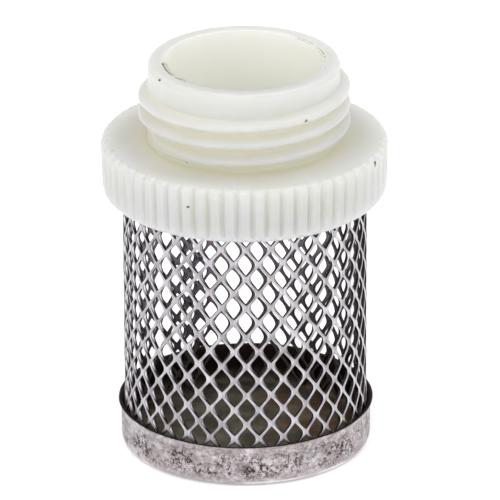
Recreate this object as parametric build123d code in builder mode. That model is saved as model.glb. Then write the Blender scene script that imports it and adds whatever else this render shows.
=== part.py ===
# Suction strainer of a foot valve: the basket that screws into the valve's inlet.
# A moulded nylon connector carries a G 1/2 male thread and a knurled hand flange. A sleeve of
# expanded stainless steel, rolled and spot-welded along a lap, stands in a groove under the
# flange, and a stamped stainless cap is pushed over its lower end.
# Lengths are millimetres and angles are degrees. The origin is the centre of the cap's
# underside, +Z runs up the axis to the threaded end, and the lap seam is at the back (+Y).

from build123d import *

import os
from math import cos, radians, sin, tan

os.makedirs("parts", exist_ok=True)

# Stations along the axis
total_height = 40.4
flange_bottom_z = 26.7
flange_top_z = 32.3

# Connector: neck and bore
bore_diameter = 15.66
neck_diameter = 18.66
rim_edge_radius = 0.3
bore_mouth_chamfer = 0.5

# Connector: G 1/2 parallel thread, moulded a little under the nominal 20.955
thread_major_diameter = 20.85
thread_pitch = 1.814
thread_flank_angle = 27.5
thread_root_land = 0.25
thread_crest_break = 0.08
thread_crest_break_angle = 60.0
thread_start_azimuth = 165.0
thread_start_z = 33.12
thread_sweep_angle = 1005.0
thread_run_out_angle = 80.0
thread_burial = 0.13
run_out_sink = 0.01
run_out_overlap_angle = 4.0
run_out_reach = 5.0

# Connector: knurled flange
flange_top_diameter = 28.4
flange_bottom_diameter = 28.0
flange_top_bevel = 0.45
flange_bottom_bevel = 0.6
rib_count = 60
valley_depth = 0.28
valley_radius = 0.4

# Sleeve of expanded metal
sleeve_diameter = 24.16
sleeve_sheet = 0.45
sleeve_bottom_z = 0.75
sleeve_top_z = 28.4
openings_per_turn = 31
opening_pitch_z = 3.113
opening_half_width = 0.82
opening_half_height = 1.22
opening_side_flat = 0.52
first_opening_azimuth = -89.45
front_opening_z = 17.49
row_lean = 0.37

# Lap seam of the sleeve
seam_azimuth = 117.0
lap_angle = 12.0
lap_gap = 0.08
joggle_angle = 10.0
joggle_clearance = 0.5
weld_diameter = 0.36
weld_count = 5
first_weld_row = -4
weld_row_step = 1.5

# Groove under the flange that holds the sleeve
groove_clearance = 0.04
groove_depth = 1.9

# Base cap, drawn from thin sheet
cap_diameter = 24.9
cap_sheet = 0.35
cap_height = 4.38
cap_lip_diameter = 25.42
cap_flare_height = 1.0
cap_corner_radius = 0.86

bore_r = bore_diameter / 2
sleeve_outer_r = sleeve_diameter / 2
sleeve_inner_r = sleeve_outer_r - sleeve_sheet
lap_outer_r = sleeve_inner_r - lap_gap
lap_inner_r = lap_outer_r - sleeve_sheet


def on_circle(radius, azimuth):
    """The point at this azimuth on a circle about the axis."""
    return Vector(radius * cos(radians(azimuth)), radius * sin(radians(azimuth)))


def along_circle(azimuth):
    """The direction of travel round the axis at this azimuth."""
    return Vector(-sin(radians(azimuth)), cos(radians(azimuth)))


# ---------------------------------------------------------------- threaded connector

# One valley of the knurl. It leans with the flange's draft, so it is as deep all the way down.
flange_height = flange_top_z - flange_bottom_z
flange_draft = (flange_top_diameter - flange_bottom_diameter) / 2
valley_foot = (flange_bottom_diameter / 2 - valley_depth + valley_radius, 0, flange_bottom_z)
with BuildPart() as knurl_valley:
    with BuildSketch(Plane(origin=valley_foot, z_dir=(flange_draft, 0, flange_height))):
        Circle(valley_radius)
    extrude(amount=2 * flange_height, both=True)

# The thread's ridge, rooted a little way inside the neck. It starts on +X here and is turned to
# its own azimuth when it joins the neck.
neck_r = neck_diameter / 2
crest_r = thread_major_diameter / 2
break_r = crest_r - thread_crest_break
thread_height = thread_pitch * thread_sweep_angle / 360
root_half = (thread_pitch - thread_root_land) / 2
buried_half = root_half + thread_burial * tan(radians(thread_flank_angle))
break_half = root_half - (break_r - neck_r) * tan(radians(thread_flank_angle))
crest_half = break_half - thread_crest_break * tan(radians(thread_crest_break_angle))
with BuildPart() as thread_ridge:
    with BuildLine() as ridge_path:
        Helix(
            pitch=thread_pitch,
            height=thread_height,
            radius=neck_r,
            center=(0, 0, thread_start_z),
            direction=(0, 0, 1),
        )
    with BuildSketch(
        Plane(origin=ridge_path.line @ 0, x_dir=(1, 0, 0), z_dir=ridge_path.line % 0)
    ):
        with BuildLine():
            Polyline(
                (-thread_burial, -buried_half),
                (break_r - neck_r, -break_half),
                (crest_r - neck_r, -crest_half),
                (crest_r - neck_r, crest_half),
                (break_r - neck_r, break_half),
                (-thread_burial, buried_half),
                close=True,
            )
        make_face()
    sweep(path=ridge_path.line, is_frenet=True)


def thread_run_out(azimuth, side, low_z, high_z):
    """Trims one end of the thread, so that it sinks into the neck over the run-out angle."""
    start_r = neck_r - run_out_sink
    eccentricity = (crest_r - start_r) / (1 - cos(radians(thread_run_out_angle)))
    cam_centre = on_circle(-eccentricity, azimuth)
    behind = azimuth - side * run_out_overlap_angle
    ahead = azimuth + side * thread_run_out_angle
    first, last = min(behind, ahead), max(behind, ahead)
    outside_r = crest_r + run_out_reach
    with BuildSketch(Plane.XY.offset(low_z)) as crescent:
        with BuildLine():
            Line((0, 0), on_circle(outside_r, first))
            CenterArc((0, 0), outside_r, first, last - first)
            Line(on_circle(outside_r, last), (0, 0))
        make_face()
        with Locations(cam_centre):
            Circle(start_r + eccentricity, mode=Mode.SUBTRACT)
    extrude(crescent.sketch, amount=high_z - low_z, mode=Mode.SUBTRACT)


with BuildPart() as threaded_connector:
    with BuildSketch(Plane.XZ):
        with BuildLine():
            Polyline(
                (bore_r, flange_bottom_z),
                (flange_bottom_diameter / 2 - flange_bottom_bevel, flange_bottom_z),
                (flange_bottom_diameter / 2, flange_bottom_z + flange_bottom_bevel),
                (flange_top_diameter / 2, flange_top_z - flange_top_bevel),
                (flange_top_diameter / 2 - flange_top_bevel, flange_top_z),
                (neck_r, flange_top_z),
                (neck_r, total_height),
                (bore_r, total_height),
                close=True,
            )
        make_face()
    revolve(axis=Axis.Z)
    rim = edges().filter_by(GeomType.CIRCLE).group_by(Axis.Z)[-1].sort_by(SortBy.RADIUS)[-1]
    fillet(rim, rim_edge_radius)
    mouth = edges().filter_by(GeomType.CIRCLE).group_by(Axis.Z)[0].sort_by(SortBy.RADIUS)[0]
    chamfer(mouth, bore_mouth_chamfer)
    with BuildSketch(Plane.XY.offset(flange_bottom_z)):
        Circle(sleeve_outer_r + groove_clearance)
        Circle(lap_inner_r - groove_clearance, mode=Mode.SUBTRACT)
    extrude(amount=groove_depth, mode=Mode.SUBTRACT)
    with PolarLocations(0, rib_count, start_angle=180 / rib_count):
        add(knurl_valley.part, mode=Mode.SUBTRACT)
    add(thread_ridge.part, rotation=(0, 0, thread_start_azimuth))
    thread_end_azimuth = thread_start_azimuth + thread_sweep_angle
    thread_end_z = thread_start_z + thread_height
    thread_run_out(thread_start_azimuth, 1, flange_top_z, thread_start_z + thread_pitch / 2)
    thread_run_out(thread_end_azimuth, -1, thread_end_z - thread_pitch / 2, total_height)
threaded_connector.part.label = "threaded_connector"
export_step(threaded_connector.part, "parts/threaded_connector.step")


# ---------------------------------------------------------------- expanded-metal sleeve


# The strip starts on the outside of the lap, goes once round, steps in, and ends inside the lap.
strip_start = seam_azimuth - lap_angle / 2 - 360
joggle_end = strip_start + 360 - joggle_clearance
joggle_start = joggle_end - joggle_angle
strip_end = seam_azimuth + lap_angle / 2

# A diamond with its side corners cut off by the bonds between the strands
half_pitch = 180 / openings_per_turn
with BuildSketch() as opening:
    Polygon(
        (0, opening_half_height),
        (-opening_half_width, opening_side_flat / 2),
        (-opening_half_width, -opening_side_flat / 2),
        (0, -opening_half_height),
        (opening_half_width, -opening_side_flat / 2),
        (opening_half_width, opening_side_flat / 2),
    )


def row_height(azimuth):
    """Height of the reference row here. The rows lean, and stand highest at the back."""
    return front_opening_z + row_lean * (1 + sin(radians(azimuth))) / 2


def opening_columns(base_r, depth):
    """Cuts every column of openings, outward from base_r. Every other one is half a row up."""
    faces = []
    for column in range(2 * openings_per_turn):
        azimuth = first_opening_azimuth + column * half_pitch
        rise = opening_pitch_z / 2 if column % 2 else 0
        lowest = (row_height(azimuth) + rise) % opening_pitch_z
        rows = int((sleeve_top_z + opening_half_height - lowest) // opening_pitch_z) + 1
        outward = on_circle(1, azimuth)
        wall = Plane(origin=outward * base_r, x_dir=along_circle(azimuth), z_dir=outward)
        with BuildSketch(wall) as openings:
            with Locations([(0, lowest + row * opening_pitch_z) for row in range(rows)]):
                add(opening.sketch)
        faces += openings.sketch.faces()
    extrude(faces, amount=depth, mode=Mode.SUBTRACT, clean=False)


# The openings of the two layers of the lap lie on each other, and so do the crossings between
# them. The welds go through both layers at such crossings, on two columns in turn.
seam_column = int((seam_azimuth - first_opening_azimuth) / half_pitch)
with BuildPart() as seam_welds:
    for weld in range(weld_count):
        azimuth = first_opening_azimuth + (seam_column + weld % 2) * half_pitch
        height = row_height(azimuth) + opening_pitch_z * (first_weld_row + weld_row_step * weld)
        with BuildSketch(Plane(origin=(0, 0, height), z_dir=on_circle(1, azimuth))):
            Circle(weld_diameter / 2)
        extrude(amount=cap_diameter)
    with BuildSketch():
        Circle(sleeve_outer_r)
        Circle(lap_inner_r, mode=Mode.SUBTRACT)
    extrude(amount=total_height, mode=Mode.INTERSECT)
seam_welds.part.label = "seam_welds"
export_step(seam_welds.part, "parts/seam_welds.step")

# The long way round is drawn as several arcs
stretches = 3
stretch_angle = (joggle_start - strip_start) / stretches
with BuildPart() as screen_sleeve:
    with BuildSketch(Plane.XY.offset(sleeve_bottom_z)):
        with BuildLine():
            for stretch in range(stretches):
                stretch_start = strip_start + stretch * stretch_angle
                CenterArc((0, 0), sleeve_outer_r, stretch_start, stretch_angle)
                CenterArc((0, 0), sleeve_inner_r, stretch_start, stretch_angle)
            Spline(
                on_circle(sleeve_outer_r, joggle_start),
                on_circle(lap_outer_r, joggle_end),
                tangents=(along_circle(joggle_start), along_circle(joggle_end)),
            )
            CenterArc((0, 0), lap_outer_r, joggle_end, strip_end - joggle_end)
            Line(on_circle(lap_outer_r, strip_end), on_circle(lap_inner_r, strip_end))
            CenterArc((0, 0), lap_inner_r, joggle_end, strip_end - joggle_end)
            Spline(
                on_circle(sleeve_inner_r, joggle_start),
                on_circle(lap_inner_r, joggle_end),
                tangents=(along_circle(joggle_start), along_circle(joggle_end)),
            )
            Line(on_circle(sleeve_inner_r, strip_start), on_circle(sleeve_outer_r, strip_start))
        make_face()
    extrude(amount=sleeve_top_z - sleeve_bottom_z)
    opening_columns(lap_inner_r - lap_gap, sleeve_outer_r - lap_inner_r + 2 * lap_gap)
    add(seam_welds.part, mode=Mode.SUBTRACT, clean=False)
screen_sleeve.part.label = "screen_sleeve"
export_step(screen_sleeve.part, "parts/screen_sleeve.step")


# ---------------------------------------------------------------- base cap

corner_inner_radius = cap_corner_radius - cap_sheet
cap_r = cap_diameter / 2
cap_lip_r = cap_lip_diameter / 2
flare_start_z = cap_height - cap_flare_height
with BuildPart() as base_cap:
    with BuildSketch(Plane.XZ):
        with BuildLine():
            Line((0, 0), (cap_r - cap_corner_radius, 0))
            CenterArc((cap_r - cap_corner_radius, cap_corner_radius), cap_corner_radius, -90, 90)
            Line((cap_r, cap_corner_radius), (cap_r, flare_start_z))
            TangentArc((cap_r, flare_start_z), (cap_lip_r, cap_height), tangent=(0, 1))
            Line((cap_lip_r, cap_height), (cap_lip_r - cap_sheet, cap_height))
            TangentArc(
                (cap_r - cap_sheet, flare_start_z),
                (cap_lip_r - cap_sheet, cap_height),
                tangent=(0, 1),
            )
            Line((cap_r - cap_sheet, flare_start_z), (cap_r - cap_sheet, cap_corner_radius))
            CenterArc(
                (cap_r - cap_corner_radius, cap_corner_radius), corner_inner_radius, -90, 90
            )
            Line((cap_r - cap_corner_radius, cap_sheet), (0, cap_sheet))
            Line((0, cap_sheet), (0, 0))
        make_face()
    revolve(axis=Axis.Z)
base_cap.part.label = "base_cap"
export_step(base_cap.part, "parts/base_cap.step")
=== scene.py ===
import math

import bmesh
import bpy
import numpy as np
from mathutils import Matrix, Vector


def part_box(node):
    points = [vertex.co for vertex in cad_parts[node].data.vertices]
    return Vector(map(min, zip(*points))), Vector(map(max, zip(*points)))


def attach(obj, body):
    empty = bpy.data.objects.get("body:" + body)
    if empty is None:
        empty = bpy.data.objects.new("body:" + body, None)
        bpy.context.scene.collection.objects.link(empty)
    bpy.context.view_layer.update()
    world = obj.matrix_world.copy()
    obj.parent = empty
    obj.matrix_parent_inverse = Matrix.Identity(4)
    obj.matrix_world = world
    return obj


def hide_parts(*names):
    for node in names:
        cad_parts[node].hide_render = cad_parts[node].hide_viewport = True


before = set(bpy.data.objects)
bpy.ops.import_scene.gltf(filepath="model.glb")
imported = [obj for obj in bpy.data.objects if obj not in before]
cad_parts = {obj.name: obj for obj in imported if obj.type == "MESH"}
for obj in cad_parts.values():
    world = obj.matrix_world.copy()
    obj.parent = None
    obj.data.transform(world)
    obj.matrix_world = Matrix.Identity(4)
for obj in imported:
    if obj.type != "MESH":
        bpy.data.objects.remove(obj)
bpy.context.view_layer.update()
MM = 0.001
TOUCHING = 1e-6


def cad_mm(node):
    """Lowest and highest corner of a CAD node, in millimetres."""
    low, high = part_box(node)
    return np.array(low) / MM, np.array(high) / MM


connector_low, connector_high = cad_mm("threaded_connector")
sleeve_low, sleeve_high = cad_mm("screen_sleeve")
_, cap_high = cad_mm("base_cap")

# Connector
TOP_Z = connector_high[2]
FLANGE_BOTTOM_Z = connector_low[2]
FLANGE_HEIGHT = 5.6
FLANGE_TOP_Z = FLANGE_BOTTOM_Z + FLANGE_HEIGHT
FLANGE_TOP_R = connector_high[0]
FLANGE_BOTTOM_R = FLANGE_TOP_R - 0.2
TOP_BEVEL = 0.45
BOTTOM_BEVEL = 0.6
BOTTOM_EDGE_R = FLANGE_BOTTOM_R - BOTTOM_BEVEL
BEVEL_BULGE = 0.35
BEVEL_STEPS = (0.0, 0.12, 0.3, 0.5, 0.7, 0.85, 1.0)
EDGE_SOFTNESS = 0.12
SIDE_UNEVENNESS = 0.02
NECK_FOOT = 0.35
BORE_R = 7.83
BORE_CHAMFER = 0.48
NECK_R = 9.33
CREST_R = 10.425
RIM_ROUND = 0.3
GROOVE_GAP = 0.04
GROOVE_DEPTH = 1.9
GROOVE_LIP = 0.05
FLASH_LENGTH = 0.26
SCRATCH_DEPTH = 0.1
SPECK_DARKNESS = 3.0
# grains of dirt pressed into the plastic: azimuth, radius, height, half size
SPECKS = (
    (208.8, 9.33, 40.05, 0.17),
    (305.0, 10.3, 37.37, 0.17),
    (234.0, 9.6, 32.8, 0.13),
    (334.7, 14.2, 32.0, 0.15),
    (247.0, 14.1, 30.3, 0.13),
    (187.0, 7.95, 40.4, 0.16),
)
RIBS = 60
VALLEY_CUT = 0.42
VALLEY_HALF_WIDTH = 0.44
PITCH = 1.814
FLANK = 27.5
THREAD_START = 165.0
THREAD_START_Z = 33.12
THREAD_SWEEP = 1005.0
RUN_OUT = 80.0
RUN_OUT_SINK = 0.01
ROOT_LAND = 0.25
THREAD_SOFTNESS = 0.3
NECK_STEP = 0.105

# Sleeve
SHEET = 0.45
STRAND = 0.3
SLEEVE_R = sleeve_high[0]
LAP_GAP = 0.08
LAP_R = SLEEVE_R - SHEET - LAP_GAP
OPENINGS = 31
HALF_PITCH = 180 / OPENINGS
OPENING_PITCH_Z = 3.113
OPENING_HALF_HEIGHT = 1.27
OPENING_REACH = 1.09
FRONT_OPENING_Z = 17.49
ROW_LEAN = 0.37
FIRST_OPENING = -89.45
SEAM = 117.0
LAP = 12.0
JOGGLE = 10.0
JOGGLE_CLEARANCE = 0.5

# Cap
CAP_SHEET = 0.35
CAP_R = 12.45
CAP_LIP_R = cap_high[0]
CAP_HEIGHT = cap_high[2]
CAP_FLARE = 1.0
CAP_CORNER = 0.86
CAP_POINTS = 480
CAP_CENTRE_R = 0.6
CAP_DENT = 0.03
LIP_DROP = 0.05
LIP_DROP_BAND = 1.2
# how far in from the lip's outer edge its top face starts to carry painted shade
LIP_SHADE_EDGE = 0.3 * CAP_SHEET


# ------------------------------------------------------------------ mesh helpers

def smoothstep(low, high, x):
    t = np.clip((x - low) / (high - low), 0, 1)
    return t * t * (3 - 2 * t)


def soft_min(a, b, k):
    """The lower of a and b, with the corner between them rounded over k."""
    h = np.clip(0.5 + 0.5 * (b - a) / k, 0, 1)
    return b * (1 - h) + a * h - k * h * (1 - h)


def waves(angle, z, seed, scale=1.0):
    """A smooth wandering value in about -1 to 1, from a few sines round the axis and along it."""
    rng = np.random.default_rng(seed)
    total = np.zeros_like(angle + z)
    for order in range(1, 7):
        turns = rng.integers(1, 4 + 3 * order)
        along = rng.uniform(-0.5, 0.5) * order * scale
        total = total + np.sin(turns * angle + along * z + rng.uniform(0, 2 * math.pi)) / order
    return total / 2.2


def make_object(name, points, faces):
    mesh = bpy.data.meshes.new(name)
    mesh.from_pydata((np.asarray(points) * MM).tolist(), [], faces)
    mesh.validate()
    mesh.polygons.foreach_set("use_smooth", [True] * len(mesh.polygons))
    made = bpy.data.objects.new(name, mesh)
    bpy.context.scene.collection.objects.link(made)
    return made


def point_attribute(made, name, values):
    made.data.attributes.new(name, "FLOAT", "POINT").data.foreach_set(
        "value", np.asarray(values, np.float32)
    )


def lathe(name, rings, discs=False):
    """A closed skin over rings of points: the last ring is joined to the first, or with discs both
    are filled in. Rings next to each other have equal counts, or one has twice the other's."""
    starts = np.cumsum([0] + [len(r) for r in rings])
    faces = []
    for index, points in enumerate(rings[:-1] if discs else rings):
        after = (index + 1) % len(rings)
        n, m = len(points), len(rings[after])
        a, b = starts[index], starts[after]
        if n == m:
            for i in range(n):
                j = (i + 1) % n
                faces.append((a + i, a + j, b + j, b + i))
        elif m == 2 * n:
            for i in range(n):
                j = (i + 1) % n
                left, middle, right = b + 2 * i, b + 2 * i + 1, b + (2 * i + 2) % m
                faces.append((a + i, middle, left))
                faces.append((a + i, a + j, middle))
                faces.append((a + j, right, middle))
        elif n == 2 * m:
            for i in range(m):
                j = (i + 1) % m
                left, middle, right = a + 2 * i, a + 2 * i + 1, a + (2 * i + 2) % n
                faces.append((left, middle, b + i))
                faces.append((middle, b + j, b + i))
                faces.append((middle, right, b + j))
    if discs:
        faces.append(tuple(range(len(rings[0]) - 1, -1, -1)))
        faces.append(tuple(range(starts[-2], starts[-1])))
    return make_object(name, np.concatenate(rings), [tuple(map(int, f)) for f in faces])


def ring(radius, z, count):
    """Points round the axis; radius and z may differ from point to point."""
    angle = np.linspace(0, 2 * math.pi, count, endpoint=False)
    radius = np.broadcast_to(radius, count)
    return np.stack([radius * np.cos(angle), radius * np.sin(angle), np.broadcast_to(z, count)], 1)


# ------------------------------------------------------------------ threaded connector

RIB_POINTS = 16
WIDE = RIBS * RIB_POINTS
NARROW = WIDE // 2
wide_angle = np.linspace(0, 2 * math.pi, WIDE, endpoint=False)
narrow_angle = np.linspace(0, 2 * math.pi, NARROW, endpoint=False)


def valley(angle):
    """Depth of the knurl at this angle, from 0 on a rib to 1 in the middle of a valley."""
    step = 2 * math.pi / RIBS
    across = np.abs((angle / step) % 1 - 0.5) * step * FLANGE_TOP_R
    rounded = 0.5 + 0.5 * np.cos(math.pi * across / VALLEY_HALF_WIDTH)
    return np.where(across < VALLEY_HALF_WIDTH, rounded, 0.0)


def flange_ring(radius, z):
    """One ring of the flange's side, at the given radius or the drafted one, whichever is less."""
    share = (z - FLANGE_BOTTOM_Z) / FLANGE_HEIGHT
    draft = FLANGE_BOTTOM_R + (FLANGE_TOP_R - FLANGE_BOTTOM_R) * share
    outside = soft_min(np.full(WIDE, float(radius)), np.full(WIDE, draft), EDGE_SOFTNESS)
    # the valleys run out of the top bevel, and fade away over the lower one
    low_fade = smoothstep(FLANGE_BOTTOM_Z + 0.1, FLANGE_BOTTOM_Z + BOTTOM_BEVEL, z)
    high_fade = 1 - 0.35 * smoothstep(FLANGE_TOP_Z - TOP_BEVEL, FLANGE_TOP_Z, z)
    cut = VALLEY_CUT * valley(wide_angle) * low_fade * high_fade
    uneven = SIDE_UNEVENNESS * (1 + waves(wide_angle, np.full(WIDE, z), 3))
    return ring(outside - cut - uneven, z, WIDE)


def uneven_run(count, blur, seed):
    """Seeded values from 0 to 1 round a ring, each the mean of a few beside it."""
    loose = np.random.default_rng(seed).random(count + blur - 1)
    return np.convolve(loose, np.ones(blur) / blur, mode="valid")


def thread_radius(angle, z):
    """Radius of the neck's outside at an angle in radians and a height, thread included."""
    turned = np.degrees(angle) - THREAD_START
    root_half = (PITCH - ROOT_LAND) / 2
    slope = 1 / math.tan(math.radians(FLANK))
    start_r = NECK_R - RUN_OUT_SINK
    off_centre = (CREST_R - start_r) / (1 - math.cos(math.radians(RUN_OUT)))
    radius = np.full_like(angle + z, NECK_R)
    for turn in range(-1, 4):
        travelled = turned + 360 * turn
        crest_z = THREAD_START_Z + PITCH * travelled / 360
        from_end = np.clip(np.minimum(travelled, THREAD_SWEEP - travelled), 0, RUN_OUT)
        cam = start_r + off_centre * (1 - np.cos(np.radians(from_end)))
        flank = NECK_R + (root_half - np.abs(z - crest_z)) * slope
        form = soft_min(flank, np.minimum(cam, CREST_R), THREAD_SOFTNESS)
        inside = (travelled > 0) & (travelled < THREAD_SWEEP)
        form = np.where(inside, form, NECK_R)
        radius = -soft_min(-radius, -form, THREAD_SOFTNESS)
    return np.minimum(radius, CREST_R)


def bevel(share):
    """Way out and way up at a share of a bevel, which is mostly straight and a little bulged."""
    turn = share * math.pi / 2
    straight = (1 - BEVEL_BULGE) * share
    return straight + BEVEL_BULGE * math.sin(turn), straight + BEVEL_BULGE * (1 - math.cos(turn))


def underside_rings():
    """From the bore's lower mouth, through the sleeve's groove, to the flange's lower edge."""
    groove_out, groove_in = SLEEVE_R + GROOVE_GAP, LAP_R - SHEET - GROOVE_GAP
    groove_top = FLANGE_BOTTOM_Z + GROOVE_DEPTH
    profile = (
        (BORE_R + 0.02, FLANGE_BOTTOM_Z + BORE_CHAMFER),
        (BORE_R + BORE_CHAMFER, FLANGE_BOTTOM_Z + 0.02),
        (BORE_R + BORE_CHAMFER + 0.08, FLANGE_BOTTOM_Z),
        (groove_in - GROOVE_LIP, FLANGE_BOTTOM_Z),
        (groove_in, FLANGE_BOTTOM_Z + GROOVE_LIP),
        (groove_in, groove_top),
        (groove_out, groove_top),
        (groove_out, FLANGE_BOTTOM_Z + GROOVE_LIP),
        (groove_out + GROOVE_LIP, FLANGE_BOTTOM_Z),
    )
    rings = [ring(radius, z, NARROW) for radius, z in profile]
    rings.append(ring(BOTTOM_EDGE_R - 0.35, FLANGE_BOTTOM_Z, WIDE))
    return rings


def flange_side_rings():
    """The lower bevel, the knurled side with extra rings at its specks, and the top bevel."""
    rings = []
    for share in BEVEL_STEPS:
        out, up = bevel(share)
        radius = BOTTOM_EDGE_R + BOTTOM_BEVEL * out
        rings.append(flange_ring(radius, FLANGE_BOTTOM_Z + BOTTOM_BEVEL * up))
    side_low, side_high = FLANGE_BOTTOM_Z + BOTTOM_BEVEL, FLANGE_TOP_Z - TOP_BEVEL
    heights = list(np.linspace(side_low, side_high, 10)[1:-1])
    for _, _, z, size in SPECKS:
        if side_low < z < side_high:
            heights += [z - size, z, z + size]
    rings += [flange_ring(FLANGE_TOP_R, z) for z in sorted(heights)]
    for share in reversed(BEVEL_STEPS):
        out, down = bevel(share)
        radius = FLANGE_TOP_R - TOP_BEVEL * (1 - out)
        rings.append(flange_ring(radius, FLANGE_TOP_Z - TOP_BEVEL * down))
    return rings


def neck_rings():
    """The flange's top, the fillet at the neck's foot, the threaded neck and the rim's flat."""
    rings = [ring(radius, FLANGE_TOP_Z, WIDE) for radius in (13.5, 13.0)]
    rings += [ring(radius, FLANGE_TOP_Z, NARROW) for radius in (12.3, 11.4, 10.6, 9.95)]
    for step in range(1, 5):
        turn = step / 5 * math.pi / 2
        radius = NECK_R + NECK_FOOT * (1 - math.sin(turn))
        z = FLANGE_TOP_Z + NECK_FOOT * (1 - math.cos(turn))
        thread = thread_radius(narrow_angle, np.full(NARROW, z))
        rings.append(ring(np.maximum(radius, thread), z, NARROW))
    low, high = FLANGE_TOP_Z + NECK_FOOT, TOP_Z - RIM_ROUND
    for z in np.arange(low, high, NECK_STEP):
        rings.append(ring(thread_radius(narrow_angle, np.full(NARROW, z)), z, NARROW))
    for step in range(5):
        turn = step / 4 * math.pi / 2
        radius = NECK_R - RIM_ROUND * (1 - math.cos(turn))
        rings.append(ring(radius, high + RIM_ROUND * math.sin(turn), NARROW))
    return rings + [ring(radius, TOP_Z, NARROW) for radius in (8.75, 8.5, 8.25)]


def rim_edge_rings():
    """The rim's inner edge, and the dirt at each of its rings. Flash hangs into the bore where the
    gate was trimmed, with a dirty scratch behind it, and less of both on the other side."""
    degrees_round = np.degrees(narrow_angle)
    signed = (degrees_round + 180) % 360 - 180
    ragged = smoothstep(176, 188, degrees_round) * (1 - smoothstep(220, 230, degrees_round))
    ragged = np.maximum(ragged, 0.7 * smoothstep(-10, 2, signed) * (1 - smoothstep(45, 58, signed)))
    flash = ragged * np.clip((uneven_run(NARROW, 6, 11) - 0.32) * 4, 0, 1)
    scratch = ragged * np.clip((uneven_run(NARROW, 3, 12) - 0.25) * 3, 0, 1)
    rings, dirt = [], []
    for outward, down, hanging, dug, dirty in (
        (0.36, 0.0, 0.0, 0.0, 0.0),
        (0.25, 0.0, 0.0, 0.4, 0.4),
        (0.16, 0.0, 0.0, 1.0, 1.3),
        (0.08, 0.0, 0.3, 0.2, 0.4),
        (0.03, 0.02, 0.8, 0.0, 0.1),
        (0.0, 0.07, 1.0, 0.0, 1.0),
        (0.0, 0.15, 0.5, 0.0, 0.6),
        (0.0, 0.28, 0.1, 0.0, 0.1),
    ):
        radius = BORE_R + outward - FLASH_LENGTH * hanging * flash
        rings.append(ring(radius, TOP_Z - down - SCRATCH_DEPTH * dug * scratch, NARROW))
        dirt.append(dirty * np.maximum(scratch, flash))
    return rings, dirt


def mark_connector(made, points, dirt):
    """Tells the material where the painted warm glow, the painted lighter bore and the dirt go."""
    z = points[:, 2]
    radius = np.hypot(points[:, 0], points[:, 1])
    on_neck = (z > FLANGE_TOP_Z - 0.01) & (radius > NECK_R - 0.05)
    # round the neck's foot the painted warm glow spreads onto the flange's top
    deep = 1 - smoothstep(NECK_R, CREST_R + 1.6 * (z < FLANGE_TOP_Z + 0.4), radius)
    point_attribute(made, "painted_recess_glow", deep * on_neck * (z < TOP_Z - 2.5))
    point_attribute(made, "bore", 1 - smoothstep(BORE_R + 0.02, BORE_R + 0.5, radius))
    for azimuth, speck_r, speck_z, size in SPECKS:
        angle = math.radians(azimuth)
        place = np.array((speck_r * math.cos(angle), speck_r * math.sin(angle), speck_z))
        nearest = points[np.argmin(np.linalg.norm(points - place, axis=1))]
        far = np.linalg.norm(points - nearest, axis=1)
        dirt = np.maximum(dirt, SPECK_DARKNESS * (1 - smoothstep(0.5 * size, size, far)))
    point_attribute(made, "grime", dirt)


def build_connector():
    """The moulding, as rings from the bore's lower mouth outwards, up, and back down the bore."""
    rings = underside_rings() + flange_side_rings() + neck_rings()
    before_edge = sum(len(points) for points in rings)
    edge, edge_dirt = rim_edge_rings()
    rings += edge
    rings += [ring(BORE_R, z, NARROW) for z in np.linspace(TOP_Z - 0.6, FLANGE_BOTTOM_Z + 0.56, 24)]
    made = lathe("connector", rings)
    points = np.concatenate(rings)
    dirt = np.zeros(len(points))
    dirt[before_edge:before_edge + len(edge) * NARROW] = np.concatenate(edge_dirt)
    mark_connector(made, points, dirt)
    return made


# ------------------------------------------------------------------ expanded-metal sleeve

strip_start = SEAM - LAP / 2 - 360
joggle_end = strip_start + 360 - JOGGLE_CLEARANCE
joggle_start = joggle_end - JOGGLE
strip_end = SEAM + LAP / 2
mm_per_degree = math.radians(1) * SLEEVE_R
QUADRANT = 5
RIGHT_CORNER = (0.84, 0.24)
LEFT_CORNER = (0.9, 0.1)
TIP_CUT = 0.03
TIP_SOFTNESS = 0.08
CORNER_SLOPE = 0.15
TWIST = 0.11
TWIST_ACROSS, TWIST_UP = 0.77, 0.63
TWIST_LEVEL = 0.35
TWIST_WEAK = 0.4
DENT = 0.02
# Each layer of an opening's wall: how far from the opening's edge to the strands' centre line,
# depth under the face, darkness (dark cut steel and painted shade), painted highlight on the upper
# right edge, painted highlight on the left corner, and whether it is on the inner face
WALL_LAYERS = (
    (1.0, 0.0, 0.0, 0.0, 0, 0),
    (0.34, 0.0, 0.0, 0.2, 0, 0),
    (0.16, 0.01, 0.1, 1.0, 0, 0),
    (0.06, 0.03, 1.0, 0.0, 0, 0),
    (0.0, 0.1, 1.0, 0.0, 1, 0),
    (0.0, STRAND - 0.06, 0.95, 0.0, 0, 0),
    (0.12, STRAND, 1.0, 0.0, 0, 1),
    (0.4, STRAND, 0.1, 0.0, 0, 1),
    (1.0, STRAND, 0.0, 0.0, 0, 1),
)


def corners(quadrant, step):
    """Which way a point of an outline lies, and its share of the way up. The points run
    counter-clockwise from the right-hand corner, in four quadrants."""
    share = step / QUADRANT
    up = 1 - share if quadrant % 2 else share
    return (1 if quadrant in (0, 3) else -1), (1 if quadrant in (0, 1) else -1), up


def opening_outline():
    """One opening: a diamond, with its side corners cut blunt by the bonds."""
    points = []
    for quadrant in range(4):
        for step in range(QUADRANT):
            x_sign, z_sign, up = corners(quadrant, step)
            limit, softness = RIGHT_CORNER if x_sign > 0 else LEFT_CORNER
            x = soft_min(OPENING_REACH * (1 - up), limit, softness)
            z = soft_min(OPENING_HALF_HEIGHT * up, OPENING_HALF_HEIGHT - TIP_CUT, TIP_SOFTNESS)
            points.append((x_sign * x, z_sign * z))
    return np.array(points)


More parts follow.
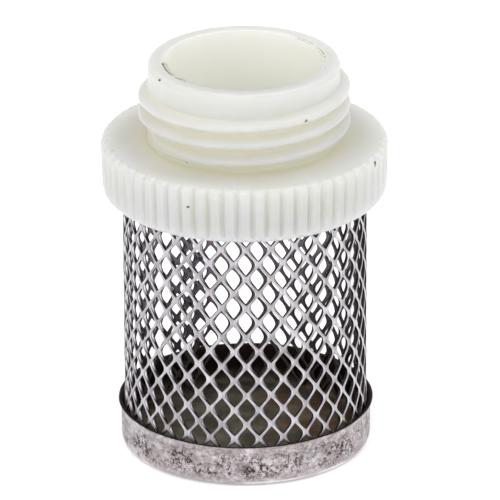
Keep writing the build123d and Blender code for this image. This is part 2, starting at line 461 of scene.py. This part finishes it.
def tile_border():
    """The strands' centre line round one opening, point for point with the opening's outline."""
    half_x, half_z = HALF_PITCH * mm_per_degree, OPENING_PITCH_Z / 2
    points = []
    for quadrant in range(4):
        for step in range(QUADRANT):
            x_sign, z_sign, up = corners(quadrant, step)
            points.append((x_sign * half_x * (1 - up), z_sign * half_z * up))
    return np.array(points)


def strip_radius(azimuth):
    """Outside radius of the rolled strip at a distance along it, in degrees."""
    return SLEEVE_R + (LAP_R - SLEEVE_R) * smoothstep(joggle_start, joggle_end, azimuth)


def build_sleeve():
    """The mesh, tiled flat as one opening after another, then trimmed to a strip and rolled."""
    inner, outer = opening_outline(), tile_border()
    count = len(inner)
    points, faces, darkness, painted_highlight, inside = [], [], [], [], []
    left_corner = smoothstep(0.55, 0.8, -inner[:, 0])
    upper_right = (inner[:, 0] > 0.05) & (inner[:, 1] > -0.1)
    up = np.array([corners(q, step)[2] for q in range(4) for step in range(QUADRANT)])
    bend = np.repeat([1, TWIST_WEAK, 1, TWIST_WEAK], QUADRANT) * 4 * up * (1 - up)
    lean_x = np.repeat([TWIST_ACROSS, -TWIST_ACROSS] * 2, QUADRANT) * bend
    lean_z = TWIST_UP * bend
    first = math.floor((strip_start - FIRST_OPENING) / HALF_PITCH) - 1
    last = math.ceil((strip_end - FIRST_OPENING) / HALF_PITCH) + 1
    for column in range(first, last + 1):
        centre_x = (FIRST_OPENING + column * HALF_PITCH) * mm_per_degree
        rise = OPENING_PITCH_Z / 2 if column % 2 else 0
        z = (FRONT_OPENING_Z + rise) % OPENING_PITCH_Z - OPENING_PITCH_Z
        while z < sleeve_high[2] + OPENING_PITCH_Z:
            base = len(points)
            for share, depth, dark, painted_edge_glint, facet, behind in WALL_LAYERS:
                slope = CORNER_SLOPE * left_corner * min(1, depth / STRAND) * (1 - share)
                twist = TWIST * (depth / STRAND - TWIST_LEVEL) * (1 - share)
                for i in range(count):
                    (ix, iz), (ox, oz) = inner[i], outer[i]
                    x = ix + slope[i] + twist * lean_x[i] + (ox - ix) * share + centre_x
                    points.append((x, -depth, iz + twist * lean_z[i] + (oz - iz) * share + z))
                    # painted highlights: a glint on the left corners' facet and along the upper
                    # right edges, which also lifts the painted shade there
                    painted_corner_glint = facet * left_corner[i]
                    painted_highlight.append(max(painted_edge_glint * upper_right[i], painted_corner_glint))
                    darkness.append(dark * (1 - painted_corner_glint) * (1 - 0.75 * painted_edge_glint * upper_right[i]))
                    inside.append(behind)
            for layer in range(len(WALL_LAYERS) - 1):
                for i in range(count):
                    j = (i + 1) % count
                    a, b = base + layer * count, base + (layer + 1) * count
                    faces.append((a + i, a + j, b + j, b + i))
            z += OPENING_PITCH_Z
    made = make_object("sleeve", points, faces)
    # edge holds dark cut steel together with painted shade; the attribute after it holds painted
    # highlights
    point_attribute(made, "edge", darkness)
    point_attribute(made, "painted_highlight", painted_highlight)
    point_attribute(made, "inside", inside)
    trim_strip(made)
    roll_strip(made)
    return made


def trim_strip(made):
    """Joins the flat strip's tiles, leans its rows, and cuts and closes its four edges."""
    shape = bmesh.new()
    shape.from_mesh(made.data)
    bmesh.ops.remove_doubles(shape, verts=shape.verts, dist=TOUCHING)
    for vert in shape.verts:
        azimuth = math.radians(vert.co.x / MM / mm_per_degree)
        vert.co.z += ROW_LEAN * (1 + math.sin(azimuth)) / 2 * MM
    cuts = (
        ((0, 0, sleeve_low[2]), (0, 0, -1)),
        ((0, 0, sleeve_high[2]), (0, 0, 1)),
        ((strip_start * mm_per_degree, 0, 0), (-1, 0, 0)),
        ((strip_end * mm_per_degree, 0, 0), (1, 0, 0)),
    )
    for place, outward in cuts:
        everything = shape.verts[:] + shape.edges[:] + shape.faces[:]
        at, away = Vector(place) * MM, Vector(outward)
        bmesh.ops.bisect_plane(
            shape, geom=everything, plane_co=at, plane_no=away, clear_outer=True, dist=1e-7
        )
        loose = [
            edge for edge in shape.edges
            if edge.is_boundary and all(abs((v.co - at).dot(away)) < TOUCHING for v in edge.verts)
        ]
        bmesh.ops.edgenet_fill(shape, edges=loose)
    bmesh.ops.recalc_face_normals(shape, faces=shape.faces)
    shape.to_mesh(made.data)
    shape.free()


def roll_strip(made):
    """Rolls the flat strip round the axis, with slight dents."""
    flat = np.zeros(len(made.data.vertices) * 3)
    made.data.vertices.foreach_get("co", flat)
    flat = flat.reshape(-1, 3) / MM
    azimuth = flat[:, 0] / mm_per_degree
    angle = np.radians(azimuth)
    dent = DENT * (waves(angle, flat[:, 2], 5, 0.6) - 1)
    radius = strip_radius(azimuth) + flat[:, 1] + dent
    rolled = np.stack([radius * np.cos(angle), radius * np.sin(angle), flat[:, 2]], 1) * MM
    made.data.vertices.foreach_set("co", rolled.ravel())
    made.data.update()


# ------------------------------------------------------------------ base cap

CORNER_X = CAP_R - CAP_CORNER
FLARE_Z = CAP_HEIGHT - CAP_FLARE


def flare(share):
    """How far the lip has spread at a share of its height."""
    return (CAP_LIP_R - CAP_R) * share ** 2


def cap_outside():
    """Radius and height from the middle of the underside, round the corner and up to the lip."""
    profile = [(radius, 0.0) for radius in (CAP_CENTRE_R, 4.0, 8.0, 10.8)]
    for step in range(9):
        turn = step / 8 * math.pi / 2
        z = CAP_CORNER * (1 - math.cos(turn))
        profile.append((CORNER_X + CAP_CORNER * math.sin(turn), z))
    profile += [(CAP_R, z) for z in np.linspace(CAP_CORNER, FLARE_Z, 8)[1:]]
    for step in range(1, 6):
        share = step / 5
        profile.append((CAP_R + flare(share), FLARE_Z + CAP_FLARE * share))
    return profile


def cap_inside():
    """The same back again, a sheet's thickness further in."""
    # painted shade: the lip's top face takes the inside walls' dark colour from near its outer edge
    # inwards
    profile = [(CAP_LIP_R - LIP_SHADE_EDGE, CAP_HEIGHT)]
    for step in range(5, 0, -1):
        share = step / 5
        profile.append((CAP_R - CAP_SHEET + flare(share), FLARE_Z + CAP_FLARE * share))
    profile += [(CAP_R - CAP_SHEET, z) for z in np.linspace(FLARE_Z, CAP_CORNER, 5)]
    inner_round = CAP_CORNER - CAP_SHEET
    for step in range(5, -1, -1):
        turn = step / 6 * math.pi / 2
        z = CAP_SHEET + inner_round * (1 - math.cos(turn))
        profile.append((CORNER_X + inner_round * math.sin(turn), z))
    profile += [(radius, CAP_SHEET) for radius in np.linspace(11.0, 1.0, 14)]
    return profile + [(CAP_CENTRE_R, CAP_SHEET)]


def build_cap():
    """The stamped cap, slightly dented, with an uneven lip."""
    angle = np.linspace(0, 2 * math.pi, CAP_POINTS, endpoint=False)
    outside, inside = cap_outside(), cap_inside()
    rings = []
    for radius, z in outside + inside:
        z_all = np.full(CAP_POINTS, z)
        dent = CAP_DENT * (1 - waves(angle, z_all, 7, 0.5)) * smoothstep(9.0, 12.0, radius)
        drop = LIP_DROP * (1 - waves(angle, z_all * 0, 9))
        drop = drop * smoothstep(CAP_HEIGHT - LIP_DROP_BAND, CAP_HEIGHT, z)
        rings.append(ring(radius - dent, z - drop, CAP_POINTS))
    made = lathe("cap", rings, discs=True)
    is_inside = np.repeat([0.0, 1.0], [len(outside) * CAP_POINTS, len(inside) * CAP_POINTS])
    point_attribute(made, "floor", is_inside)
    return made


# ------------------------------------------------------------------ materials

class Nodes:
    """Short names for the nodes that the materials below are made from. Noise scales are cells
    to a metre, and places are metres."""

    def __init__(self, name):
        self.material = bpy.data.materials.new(name)
        self.material.use_nodes = True
        self.tree = self.material.node_tree
        self.shader = self.tree.nodes["Principled BSDF"]
        self.place = self.tree.nodes.new("ShaderNodeTexCoord").outputs["Object"]

    def link(self, value, socket):
        if isinstance(value, bpy.types.NodeSocket):
            self.tree.links.new(value, socket)
        else:
            socket.default_value = value

    def noise(self, scale, detail=4, roughness=0.55, stretch=(1, 1, 1), offset=(0, 0, 0)):
        shift = self.tree.nodes.new("ShaderNodeMapping")
        shift.inputs["Scale"].default_value = stretch
        shift.inputs["Location"].default_value = offset
        self.tree.links.new(self.place, shift.inputs["Vector"])
        made = self.tree.nodes.new("ShaderNodeTexNoise")
        made.inputs["Scale"].default_value = scale
        made.inputs["Detail"].default_value = detail
        made.inputs["Roughness"].default_value = roughness
        self.tree.links.new(shift.outputs["Vector"], made.inputs["Vector"])
        return made.outputs["Fac"]

    def spread(self, value, low, high, to_low=0.0, to_high=1.0):
        made = self.tree.nodes.new("ShaderNodeMapRange")
        made.interpolation_type = "SMOOTHSTEP"
        self.link(value, made.inputs["Value"])
        made.inputs["From Min"].default_value = low
        made.inputs["From Max"].default_value = high
        made.inputs["To Min"].default_value = to_low
        made.inputs["To Max"].default_value = to_high
        return made.outputs["Result"]

    def math(self, operation, a, b):
        made = self.tree.nodes.new("ShaderNodeMath")
        made.operation = operation
        self.link(a, made.inputs[0])
        self.link(b, made.inputs[1])
        return made.outputs["Value"]

    def mix(self, share, a, b):
        made = self.tree.nodes.new("ShaderNodeMix")
        made.data_type = "RGBA"
        self.link(share, made.inputs["Factor"])
        self.link(a, made.inputs[6])
        self.link(b, made.inputs[7])
        return made.outputs[2]

    def attribute(self, name):
        made = self.tree.nodes.new("ShaderNodeAttribute")
        made.attribute_name = name
        return made.outputs["Fac"]

    def part(self, axis):
        made = self.tree.nodes.new("ShaderNodeSeparateXYZ")
        self.tree.links.new(self.place, made.inputs["Vector"])
        return made.outputs[axis]

    def bump(self, height, distance, strength=1.0):
        made = self.tree.nodes.new("ShaderNodeBump")
        made.inputs["Distance"].default_value = distance
        made.inputs["Strength"].default_value = strength
        self.link(height, made.inputs["Height"])
        self.tree.links.new(made.outputs["Normal"], self.shader.inputs["Normal"])


def colour(red, green, blue):
    """A colour as linear light, from its ordinary 0 to 255 values."""
    def linear(value):
        value = value / 255
        return value / 12.92 if value <= 0.04045 else ((value + 0.055) / 1.055) ** 2.4
    return (linear(red), linear(green), linear(blue), 1)


def moulded_nylon():
    """Milky plastic: cloudy, with a painted warm glow in the thread's roots and a painted lighter,
    warmer bore, scuffed and specked.
    """
    n = Nodes("moulded_nylon")
    cloudy = n.spread(n.noise(220, 3), 0.35, 0.65)
    base = n.mix(cloudy, colour(203, 203, 202), colour(200, 201, 195))
    # painted light: a warm glow in the thread's roots and round the neck's foot, standing in for
    # light bounced and carried through the plastic
    base = n.mix(n.math("MULTIPLY", n.attribute("painted_recess_glow"), 0.85), base, colour(220, 217, 200))
    # painted light: the bore is lightened and warmed, standing in for light shining through its
    # wall
    base = n.mix(n.attribute("bore"), base, colour(231, 231, 220))
    scuff = n.spread(n.noise(900, 6, 0.8, stretch=(1, 1, 3), offset=(2, 5, 1)), 0.66, 0.74)
    base = n.mix(n.math("MULTIPLY", scuff, 0.35), base, colour(176, 170, 156))
    dirt = n.math("MULTIPLY", n.attribute("grime"), n.spread(n.noise(2600, 5, 0.7), 0.12, 0.4))
    base = n.mix(n.spread(dirt, 0.1, 1.2), base, colour(56, 49, 40))
    n.link(base, n.shader.inputs["Base Color"])
    s = n.shader.inputs
    s["Subsurface Weight"].default_value = 1.0
    s["Subsurface Radius"].default_value = (1.0, 0.97, 0.8)
    s["Subsurface Scale"].default_value = 0.009
    s["IOR"].default_value = 1.5
    s["Coat Weight"].default_value = 0.08
    n.link(n.spread(n.noise(900, 4), 0.3, 0.7, 0.36, 0.5), s["Roughness"])
    n.bump(n.noise(1500, 4, 0.6), 0.00002)
    return n.material


def expanded_steel():
    """Flattened strands: dark cut edges with painted shade along the openings, painted highlights
    on the upper right edges and left corners, and painted shade on the inner face.
    """
    n = Nodes("expanded_steel")
    patches = n.spread(n.noise(420, 5, 0.65), 0.35, 0.7)
    base = n.mix(patches, colour(193, 189, 195), colour(150, 144, 148))
    streaks = n.spread(n.noise(1500, 4, 0.6, stretch=(1, 1, 0.35)), 0.45, 0.7)
    base = n.mix(n.math("MULTIPLY", streaks, 0.5), base, colour(226, 222, 227))
    stain = n.spread(n.noise(170, 6, 0.7, offset=(3, 1, 2)), 0.56, 0.7)
    base = n.mix(n.math("MULTIPLY", stain, 0.8), base, colour(128, 112, 98))
    # dark cut steel and painted shade along the openings' edges and walls
    cut_edge_and_shade = n.math("MULTIPLY", n.attribute("edge"), n.spread(n.noise(1800, 3), 0.2, 0.6, 0.9, 1))
    # painted shade: the inner face gets an even grey, darker than the outer face
    base = n.mix(n.attribute("inside"), base, colour(140, 132, 138))
    base = n.mix(cut_edge_and_shade, base, colour(48, 43, 44))
    # painted highlight on the upper right edges and the left corners
    base = n.mix(n.attribute("painted_highlight"), base, colour(244, 243, 247))
    n.link(base, n.shader.inputs["Base Color"])
    s = n.shader.inputs
    s["Metallic"].default_value = 1.0
    n.link(n.spread(n.noise(1200, 4), 0.3, 0.7, 0.3, 0.5), s["Roughness"])
    n.bump(n.noise(2600, 5, 0.65), 0.00003)
    return n.material


def pitted_outside(n, z):
    """Mottled sheet, with pits in clusters low on the wall, painted shade greying the bottom corner
    and underside, and a painted highlight along the bottom corner.
    """
    mottle = n.spread(n.noise(520, 6, 0.68, stretch=(1, 1, 1.6)), 0.36, 0.62)
    base = n.mix(mottle, colour(222, 215, 219), colour(180, 169, 171))
    fine = n.spread(n.noise(2600, 5, 0.7, offset=(0, 0, 3)), 0.4, 0.66)
    base = n.mix(n.math("MULTIPLY", fine, 0.6), base, colour(112, 98, 95))
    band = n.spread(z, 0.0004, 0.0016)
    band = n.math("MULTIPLY", band, n.spread(z, 0.0026, 0.0042, 1.0, 0.25))
    grains = n.spread(n.noise(2300, 6, 0.85, offset=(5, 0, 0)), 0.5, 0.53)
    clusters = n.spread(n.noise(330, 4, 0.6, offset=(0, 4, 0)), 0.4, 0.54)
    grains = n.math("MULTIPLY", n.math("MULTIPLY", grains, clusters), band)
    pinholes = n.spread(n.noise(4200, 4, 0.7, offset=(8, 3, 1)), 0.62, 0.66)
    grains = n.math("MAXIMUM", grains, n.math("MULTIPLY", pinholes, band))
    base = n.mix(n.math("MULTIPLY", grains, 0.95), base, colour(42, 29, 23))
    cool = n.spread(n.noise(420, 3, 0.5, offset=(9, 2, 0)), 0.56, 0.7)
    base = n.mix(n.math("MULTIPLY", cool, 0.6), base, colour(214, 217, 224))
    # painted shade: the bottom corner and the underside are greyed
    low = n.spread(z, 0.0010, 0.0002)
    base = n.mix(n.math("MULTIPLY", low, 0.6), base, colour(186, 180, 188))
    # painted highlight: a bright streak along the bottom corner, broken up by noise
    painted_corner_highlight = n.math("MULTIPLY", n.spread(z, 0.00018, 0.0003), n.spread(z, 0.0006, 0.0004))
    painted_corner_highlight = n.math("MULTIPLY", painted_corner_highlight, n.spread(n.noise(160, 4, 0.6, offset=(2, 2, 0)), 0.4, 0.6))
    return n.mix(painted_corner_highlight, base, colour(252, 252, 255))


def stained_and_shaded_inside(n, z):
    """A dull floor, rusty on one side, with painted shade darkening the walls."""
    worn = n.spread(n.noise(260, 5, 0.7), 0.35, 0.65)
    dull = n.mix(worn, colour(146, 137, 122), colour(98, 91, 80))
    patches = n.spread(n.noise(330, 6, 0.72, offset=(1, 7, 0)), 0.44, 0.58)
    rust = n.math("MULTIPLY", patches, n.spread(n.part("X"), 0.0, 0.005))
    dull = n.mix(n.math("MULTIPLY", rust, 0.8), dull, colour(128, 84, 50))
    # painted shade: the inside walls darken from a little above the floor up to the lip
    return n.mix(n.spread(z, 0.0006, 0.0022), dull, colour(50, 40, 36))


def stamped_steel():
    """The cap's sheet, whose two sides have aged differently and carry painted light and shade."""
    n = Nodes("stamped_steel")
    z, inside = n.part("Z"), n.attribute("floor")
    base = n.mix(inside, pitted_outside(n, z), stained_and_shaded_inside(n, z))
    n.link(base, n.shader.inputs["Base Color"])
    s = n.shader.inputs
    s["Metallic"].default_value = 0.9
    rough = n.spread(n.noise(1400, 5), 0.3, 0.7, 0.3, 0.6)
    n.link(n.math("MAXIMUM", rough, n.math("MULTIPLY", inside, 0.7)), s["Roughness"])
    n.bump(n.noise(2200, 6, 0.7), 0.00008)
    return n.material


def weld_steel():
    """Dark, slightly blued spots."""
    n = Nodes("weld_steel")
    base = n.mix(n.spread(n.noise(2400, 4), 0.4, 0.6), colour(92, 82, 78), colour(60, 54, 60))
    n.link(base, n.shader.inputs["Base Color"])
    n.shader.inputs["Metallic"].default_value = 1.0
    n.link(n.spread(n.noise(1800, 3), 0.3, 0.7, 0.4, 0.6), n.shader.inputs["Roughness"])
    n.bump(n.noise(3000, 4), 0.00002)
    return n.material


def dress(made, material, node):
    """Gives a piece its material, its body and the CAD node that it replaces."""
    made.data.materials.clear()
    made.data.materials.append(material)
    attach(made, "root")
    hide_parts(node)


dress(build_connector(), moulded_nylon(), "threaded_connector")
dress(build_sleeve(), expanded_steel(), "screen_sleeve")
dress(build_cap(), stamped_steel(), "base_cap")
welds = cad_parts["seam_welds"]
welds.data.materials.clear()
welds.data.materials.append(weld_steel())


# ------------------------------------------------------------------ stage, light and camera

FLOOR_HALF_SIZE = 6.0
FLOOR_DROP = 0.02
FLOOR_GLOW = 0.27
# The white room is brightest overhead, a little towards the front
BRIGHT_SIDE = (0.0, -0.35, 0.94)
ROOM_DIM = 0.44
ROOM_BRIGHT = 1.22
LAMP_SIZE = 0.2
LAMP_AIM = (0, 0, 0.02)
CAMERA_ELEVATION = math.radians(23.43)
CAMERA_ROLL = math.radians(-0.3)
CAMERA_DISTANCE = 0.7259
CAMERA_TARGET = (0.0005, 0, 0.0201)
CAMERA_LENS = 527.9


def build_floor():
    """A pale floor that glows a little, set just below the cap."""
    n = Nodes("pale_floor")
    base = n.mix(n.spread(n.noise(6, 3), 0.3, 0.7), colour(250, 250, 250), colour(247, 247, 247))
    n.link(base, n.shader.inputs["Base Color"])
    n.shader.inputs["Roughness"].default_value = 0.9
    n.shader.inputs["Specular IOR Level"].default_value = 0.1
    n.shader.inputs["Emission Color"].default_value = (1, 1, 1, 1)
    n.shader.inputs["Emission Strength"].default_value = FLOOR_GLOW
    half, z = FLOOR_HALF_SIZE, -FLOOR_DROP * MM
    mesh = bpy.data.meshes.new("floor")
    outline = [(-half, -half, z), (half, -half, z), (half, half, z), (-half, half, z)]
    mesh.from_pydata(outline, [], [(0, 1, 2, 3)])
    floor = bpy.data.objects.new("floor", mesh)
    floor.data.materials.append(n.material)
    bpy.context.scene.collection.objects.link(floor)


def soft_light(name, place, power):
    data = bpy.data.lights.new(name, "AREA")
    data.shape = "DISK"
    data.size = LAMP_SIZE
    data.energy = power
    lamp = bpy.data.objects.new(name, data)
    lamp.location = place
    aim = Vector(LAMP_AIM) - Vector(place)
    lamp.rotation_euler = aim.to_track_quat("-Z", "Y").to_euler()
    bpy.context.scene.collection.objects.link(lamp)


def light_scene():
    world = bpy.data.worlds.new("studio")
    world.use_nodes = True
    tree = world.node_tree
    background = tree.nodes["Background"]
    background.inputs["Strength"].default_value = 1.0
    direction = tree.nodes.new("ShaderNodeTexCoord").outputs["Generated"]
    towards = tree.nodes.new("ShaderNodeVectorMath")
    towards.operation = "DOT_PRODUCT"
    towards.inputs[1].default_value = BRIGHT_SIDE
    tree.links.new(direction, towards.inputs[0])
    glow = tree.nodes.new("ShaderNodeMapRange")
    glow.interpolation_type = "SMOOTHSTEP"
    glow.inputs["From Min"].default_value = 0.0
    glow.inputs["From Max"].default_value = 1.0
    glow.inputs["To Min"].default_value = ROOM_DIM
    glow.inputs["To Max"].default_value = ROOM_BRIGHT
    tree.links.new(towards.outputs["Value"], glow.inputs["Value"])
    tree.links.new(glow.outputs["Result"], background.inputs["Color"])
    bpy.context.scene.world = world
    soft_light("key", (-0.15, -0.3, 0.6), 0.5)
    soft_light("side", (0.3, 0.1, 0.5), 0.3)


def place_camera():
    rise, level = math.sin(CAMERA_ELEVATION), math.cos(CAMERA_ELEVATION)
    forward = Vector((0, level, -rise))
    right = Vector((1, 0, 0))
    up = Vector((0, rise, level))
    tilted_right = math.cos(CAMERA_ROLL) * right + math.sin(CAMERA_ROLL) * up
    tilted_up = -math.sin(CAMERA_ROLL) * right + math.cos(CAMERA_ROLL) * up
    data = bpy.data.cameras.new("camera")
    data.sensor_width = 36
    data.lens = CAMERA_LENS
    data.clip_start = 0.05
    data.clip_end = 30
    camera = bpy.data.objects.new("camera", data)
    turn = Matrix((tilted_right, tilted_up, -forward)).transposed().to_4x4()
    place = Vector(CAMERA_TARGET) - forward * CAMERA_DISTANCE
    camera.matrix_world = Matrix.Translation(place) @ turn
    bpy.context.scene.collection.objects.link(camera)
    bpy.context.scene.camera = camera


build_floor()
light_scene()
place_camera()
bpy.context.scene.view_settings.view_transform = "Standard"
